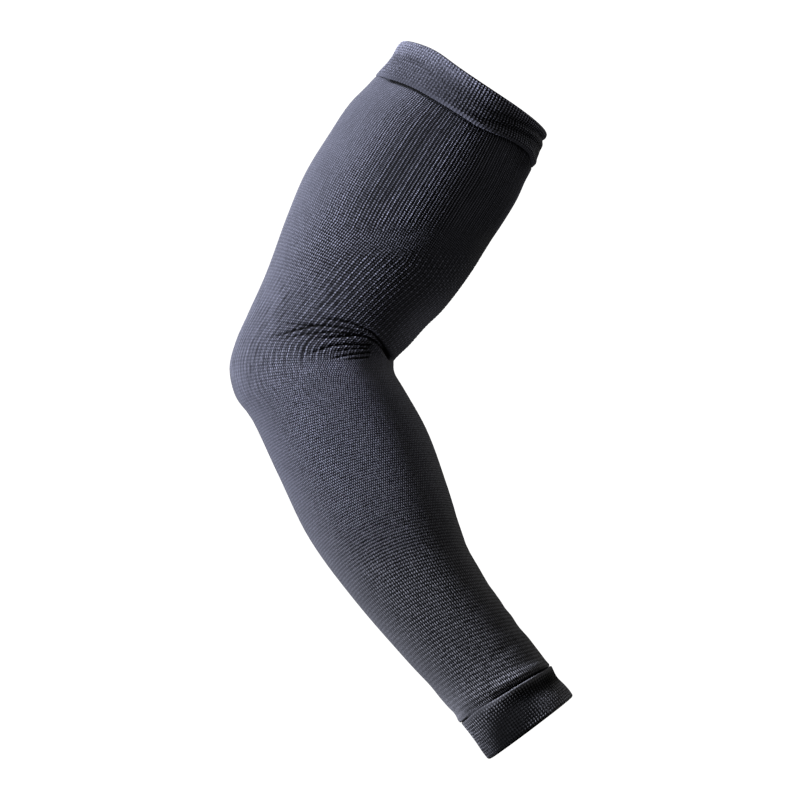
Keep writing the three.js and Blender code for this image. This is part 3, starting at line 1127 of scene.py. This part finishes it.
def cove():
    """Round floor that turns up into a wall. Only the camera sees it, so it throws no light on the sleeve."""
    turn = np.linspace(0, math.pi / 2, COVE_STEPS)
    bend_radii = FLOOR_RADIUS + COVE_RADIUS * np.sin(turn)
    bend_heights = COVE_RADIUS * (1 - np.cos(turn))
    radii = np.concatenate([FLOOR_RINGS, bend_radii, [FLOOR_RADIUS + COVE_RADIUS]])
    heights = np.concatenate([np.zeros(len(FLOOR_RINGS)), bend_heights, [WALL_TOP]]) + FLOOR_Z
    around = FULL_TURN * np.arange(COVE_SIDES) / COVE_SIDES
    points = [(0.0, 0.0, FLOOR_Z)]
    for radius, height in zip(radii, heights):
        points += [(radius * math.cos(a), radius * math.sin(a), height) for a in around]
    middle = [(0, 1 + side, 1 + (side + 1) % COVE_SIDES) for side in range(COVE_SIDES)]
    quads, _, _ = grid_faces(1, len(radii), COVE_SIDES, flip=True)
    mesh = bpy.data.meshes.new("studio_cove")
    mesh.from_pydata(points, [], middle + quads.tolist())
    mesh.polygons.foreach_set("use_smooth", np.ones(len(mesh.polygons), dtype=bool))
    mesh.materials.append(studio_material())
    obj = bpy.data.objects.new("studio_cove", mesh)
    bpy.context.scene.collection.objects.link(obj)
    obj.visible_diffuse = False
    obj.visible_glossy = False
    obj.visible_transmission = False


cove()

# Lights: name, azimuth, elevation, distance, width, height, watts, colour. Azimuth 0 is the camera's side
# and -90 is the left of the picture; all aim at the middle of the sleeve.
MIDDLE = Vector((-0.043, 0.0, -0.18))
COOL = (0.95, 0.97, 1.0)
WHITE = (1.0, 1.0, 1.0)
WARM = (1.0, 0.98, 0.88)
LIGHTS = [
    ("key", -69, 19, 1.7, 0.5, 0.6, 98, COOL),
    ("top", 30, 65, 1.8, 1.4, 1.4, 5, WARM),
    ("back_left", -155, 10, 1.8, 0.8, 1.4, 16, WHITE),
    ("back_right", 135, 15, 1.8, 0.8, 1.2, 10, WARM),
]
AMBIENT = (1.0, 0.98, 0.86, 1.0)
AMBIENT_STRENGTH = 0.09


def soft_box(name, azimuth, elevation, distance, width, height, watts, colour):
    """Area light aimed at the sleeve."""
    light = bpy.data.lights.new(name, "AREA")
    light.shape = "RECTANGLE"
    light.size = width
    light.size_y = height
    light.energy = watts
    light.color = colour
    obj = bpy.data.objects.new(name, light)
    bpy.context.scene.collection.objects.link(obj)
    turn, lift = math.radians(azimuth), math.radians(elevation)
    way = Vector((math.sin(turn) * math.cos(lift), -math.cos(turn) * math.cos(lift), math.sin(lift)))
    obj.location = MIDDLE + way * distance
    obj.rotation_mode = "QUATERNION"
    obj.rotation_quaternion = way.to_track_quat("Z", "Y")


for light_values in LIGHTS:
    soft_box(*light_values)

world = bpy.data.worlds.new("studio")
bpy.context.scene.world = world
world.use_nodes = True
background = world.node_tree.nodes["Background"]
background.inputs["Color"].default_value = AMBIENT
background.inputs["Strength"].default_value = AMBIENT_STRENGTH

# Camera: the photograph's frame spans 464 mm at the sleeve, seen from a little below its middle
FRAME_SPAN = 0.464
CAMERA_DISTANCE = 2.5
CAMERA_DROP = 0.133
FRAME_CENTRE = Vector((-0.0432, 0.0, -0.1804))
SENSOR_WIDTH = 36.0

camera_data = bpy.data.cameras.new("camera")
camera = bpy.data.objects.new("camera", camera_data)
bpy.context.scene.collection.objects.link(camera)
camera_back = math.sqrt(CAMERA_DISTANCE**2 - CAMERA_DROP**2)
camera.location = FRAME_CENTRE + Vector((0.0, -camera_back, -CAMERA_DROP))
camera.rotation_mode = "QUATERNION"
camera.rotation_quaternion = (camera.location - FRAME_CENTRE).to_track_quat("Z", "Y")
camera_data.sensor_width = SENSOR_WIDTH
camera_data.lens = SENSOR_WIDTH * CAMERA_DISTANCE / FRAME_SPAN
bpy.context.scene.camera = camera
bpy.context.scene.view_settings.view_transform = "Standard"
